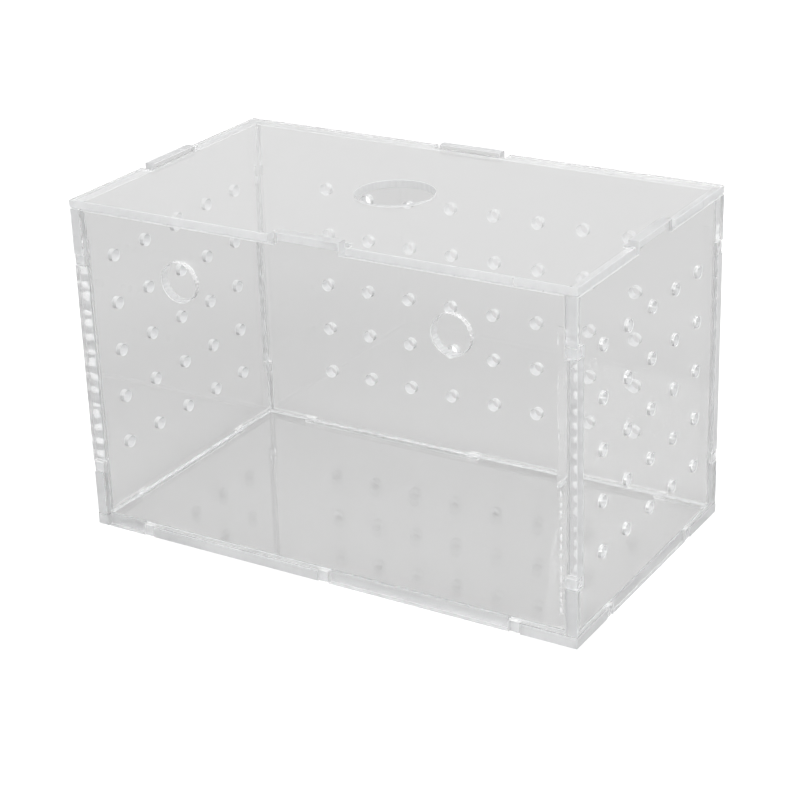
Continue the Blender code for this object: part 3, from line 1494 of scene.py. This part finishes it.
    def build(self, materials: Materials) -> list[bpy.types.Object]:
        """Builds all the glue.

        Args:
            materials: The material of each finish.

        Returns:
            The finished pieces.
        """
        plans = [
            ("floor_glue_seams", self.floor_seams(), Look.CLEAR_GLUE),
            ("corner_glue_seams", self.post_seams(), Look.CLEAR_GLUE),
            ("corner_glue_lumps", self.corner_lumps(), Look.CLEAR_GLUE),
            ("foot_glue_lumps", self.foot_lumps(), Look.CLEAR_GLUE),
            ("corner_glue_layers", self.corner_layers(), Look.JOINT_GLUE),
            ("foot_glue_layers", self.foot_layers(), Look.JOINT_GLUE),
            ("corner_glue_films", self.films(), Look.JOINT_GLUE),
            ("upper_glue_dabs", self.upper_dabs(), Look.MILKY_GLINT_PAINTED_GLUE),
            ("seam_glue_bubbles", self.seam_bubbles(), Look.MILKY_GLINT_PAINTED_GLUE),
        ]
        names = ("front_left", "front_right", "back_left", "back_right")
        for number, (name, ways) in enumerate(zip(names, CORNERS)):
            plans.append((name + "_glue_dabs", self.rungs(*ways, number), Look.MILKY_GLINT_PAINTED_GLUE))
        return [self.piece(name, parts, materials[look]) for name, parts, look in plans]


@dataclass(frozen=True)
class PhotoCamera:
    """The camera of the photograph."""

    eye: Place = (0.26165, -0.42331, 0.25064)
    azimuth: float = 31.740
    elevation: float = 22.493
    roll: float = -1.922
    lens: float = 95.535
    sensor: float = 36.0
    shift_up: float = -0.05
    clip_near: float = 0.01
    clip_far: float = 50.0

    def build(self) -> None:
        """Makes the camera and hands it to the scene."""
        data = bpy.data.cameras.new("photo_camera")
        data.sensor_width = self.sensor
        data.lens = self.lens
        data.shift_y = self.shift_up
        data.clip_start = self.clip_near
        data.clip_end = self.clip_far
        camera = link_object("photo_camera", data)
        turn = Matrix.Rotation(math.radians(self.azimuth), 4, "Z")
        tilt = Matrix.Rotation(math.radians(90.0 - self.elevation), 4, "X")
        lean = Matrix.Rotation(math.radians(self.roll), 4, "Z")
        camera.matrix_world = Matrix.Translation(self.eye) @ turn @ tilt @ lean
        bpy.context.scene.camera = camera


@dataclass(frozen=True)
class Lamp:
    """A square soft lamp, its power in watts."""

    name: str
    place: Place
    power: float
    size: float = 1.8

    def build(self, aim: Vector) -> None:
        """Hangs the lamp.

        Args:
            aim: What it points at.
        """
        data = bpy.data.lights.new(self.name, "AREA")
        data.shape = "SQUARE"
        data.size = self.size
        data.energy = self.power
        lamp = link_object(self.name, data)
        place = Vector(self.place)
        lamp.location = place
        lamp.rotation_euler = (aim - place).to_track_quat("-Z", "Y").to_euler()


@dataclass(frozen=True)
class Studio:
    """Pale floor with painted shade round the box, soft surroundings and three soft lamps."""

    floor_size: float = 12.0
    crease: float = 180.0
    floor_drop: float = 0.0002
    floor_shade_reach: float = 0.125
    # Painted shade: floor greys by distance from the box, darkest under and round it, paler far
    # off.
    floor_painted_shades: tuple[tuple[float, Colour], ...] = (
        (0.01, (0.550, 0.550, 0.550)), (0.12, (0.600, 0.600, 0.600)),
        (0.50, (0.600, 0.600, 0.600)), (1.00, (0.655, 0.655, 0.655)),
    )
    floor_glow: float = 0.57
    surround: Colour = (0.65, 0.65, 0.65)
    backdrop: Colour = (1.0, 1.0, 1.0)
    aim: Place = (0.0, 0.0, 0.045)
    lamps: tuple[Lamp, ...] = (
        Lamp("front_lamp", (-0.50, -2.80, 1.80), 33.0),
        Lamp("right_lamp", (2.80, 0.70, 1.80), 40.0),
        Lamp("top_lamp", (0.00, 0.60, 3.30), 12.0),
    )

    def background_rays(self, tree: Tree) -> Socket:
        """Tells the rays that see the background: from the camera, off gloss and through glass.

        Args:
            tree: Node tree that the nodes go into.

        Returns:
            Socket that is 1 for those rays and 0 for the rest.
        """
        total = add_node(tree, "LightPath", {}, "Is Camera Ray")
        rays = total.node.outputs
        for kind in ("Is Glossy Ray", "Is Transmission Ray"):
            both = {0: total, 1: rays[kind]}
            total = add_node(tree, "Math", both, operation="ADD", use_clamp=True)
        return total

    def world(self) -> None:
        """White to the rays that see the background, and soft grey light to everything else."""
        world = bpy.data.worlds.new("studio_world")
        bpy.context.scene.world = world
        world.use_nodes = True
        tree = world.node_tree
        tree.nodes.clear()
        soft, white = (
            add_node(tree, "Background", {"Color": (*colour, 1.0)})
            for colour in (self.surround, self.backdrop)
        )
        mix = add_node(tree, "MixShader", {0: self.background_rays(tree), 1: soft, 2: white})
        set_inputs(tree, tree.nodes.new("ShaderNodeOutputWorld"), {"Surface": mix})

    def floor_painted_shade(self, tree: Tree) -> Socket:
        """Colours the floor by its distance from the box with painted shade: darkest under and
        round it, paler far off.

        Args:
            tree: Node tree of the floor's material.

        Returns:
            Socket with the colour.
        """
        side, front, _ = CAD_BOX[1]
        place = add_node(tree, "TexCoord", {}, "Object")
        sides = add_node(tree, "VectorMath", {0: place}, operation="ABSOLUTE")
        edge = {0: sides, 1: (side, front, 0.0)}
        past = add_node(tree, "VectorMath", edge, operation="SUBTRACT")
        beyond = add_node(tree, "VectorMath", {0: past}, operation="MAXIMUM")
        reach = add_node(tree, "VectorMath", {0: beyond}, "Value", operation="LENGTH")
        share = add_spread(tree, reach, (0.0, self.floor_shade_reach), (0.0, 1.0))
        return add_ramp(tree, share, self.floor_painted_shades)

    def floor(self) -> None:
        """Makes the table top, which takes the object's shadow, carries painted shade round the
        box and is white to the camera.
        """
        material, tree, shader = new_shader("studio_floor")
        # The floor's colour carries the painted shade round the box.
        tone = self.floor_painted_shade(tree)
        set_inputs(tree, shader, {"Base Color": tone, "Roughness": 1.0, "Specular IOR Level": 0.0})
        matt = shader.outputs["BSDF"]
        glow = add_node(tree, "Emission", {"Strength": self.floor_glow})
        lit = add_node(tree, "AddShader", {0: matt, 1: glow})
        seen = add_node(tree, "LightPath", {}, "Is Camera Ray")
        pick = add_node(tree, "MixShader", {0: seen, 1: matt, 2: lit})
        set_inputs(tree, tree.nodes["Material Output"], {"Surface": pick})
        body = bmesh.new()
        bmesh.ops.create_grid(body, x_segments=1, y_segments=1, size=self.floor_size / 2)
        floor = link_mesh("studio_floor", body, [material], self.crease, Matrix())
        floor.location.z = -self.floor_drop
        floor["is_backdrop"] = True

    def build(self) -> None:
        """Makes the surroundings, the floor and the lamps."""
        self.world()
        self.floor()
        for lamp in self.lamps:
            lamp.build(Vector(self.aim))


def main() -> None:
    """Builds the camera, the box and its studio, in that order, logs each piece's faces and works
    out the sizes.
    """
    logging.basicConfig(level=logging.INFO, format="%(message)s")
    scene = bpy.context.scene
    scene.view_settings.view_transform = "Standard"
    scene.cycles.max_bounces = BOUNCES
    scene.cycles.glossy_bounces = BOUNCES
    scene.cycles.transmission_bounces = BOUNCES
    scene.cycles.transparent_max_bounces = CLEAR_BOUNCES
    PhotoCamera().build()
    materials = {look: look.value.material() for look in Look}
    tank = Tank()
    for piece in (*tank.build(materials), Lid().build(materials), *Glue(tank).build(materials)):
        log.info("%s: %d faces", piece.name, len(piece.data.polygons))
    Studio().build()
    boxes = {"cad": CAD_BOX, "visual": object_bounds()}
    sizes = {name: [list(corner) for corner in box] for name, box in boxes.items()}


if __name__ == "__main__":
    main()
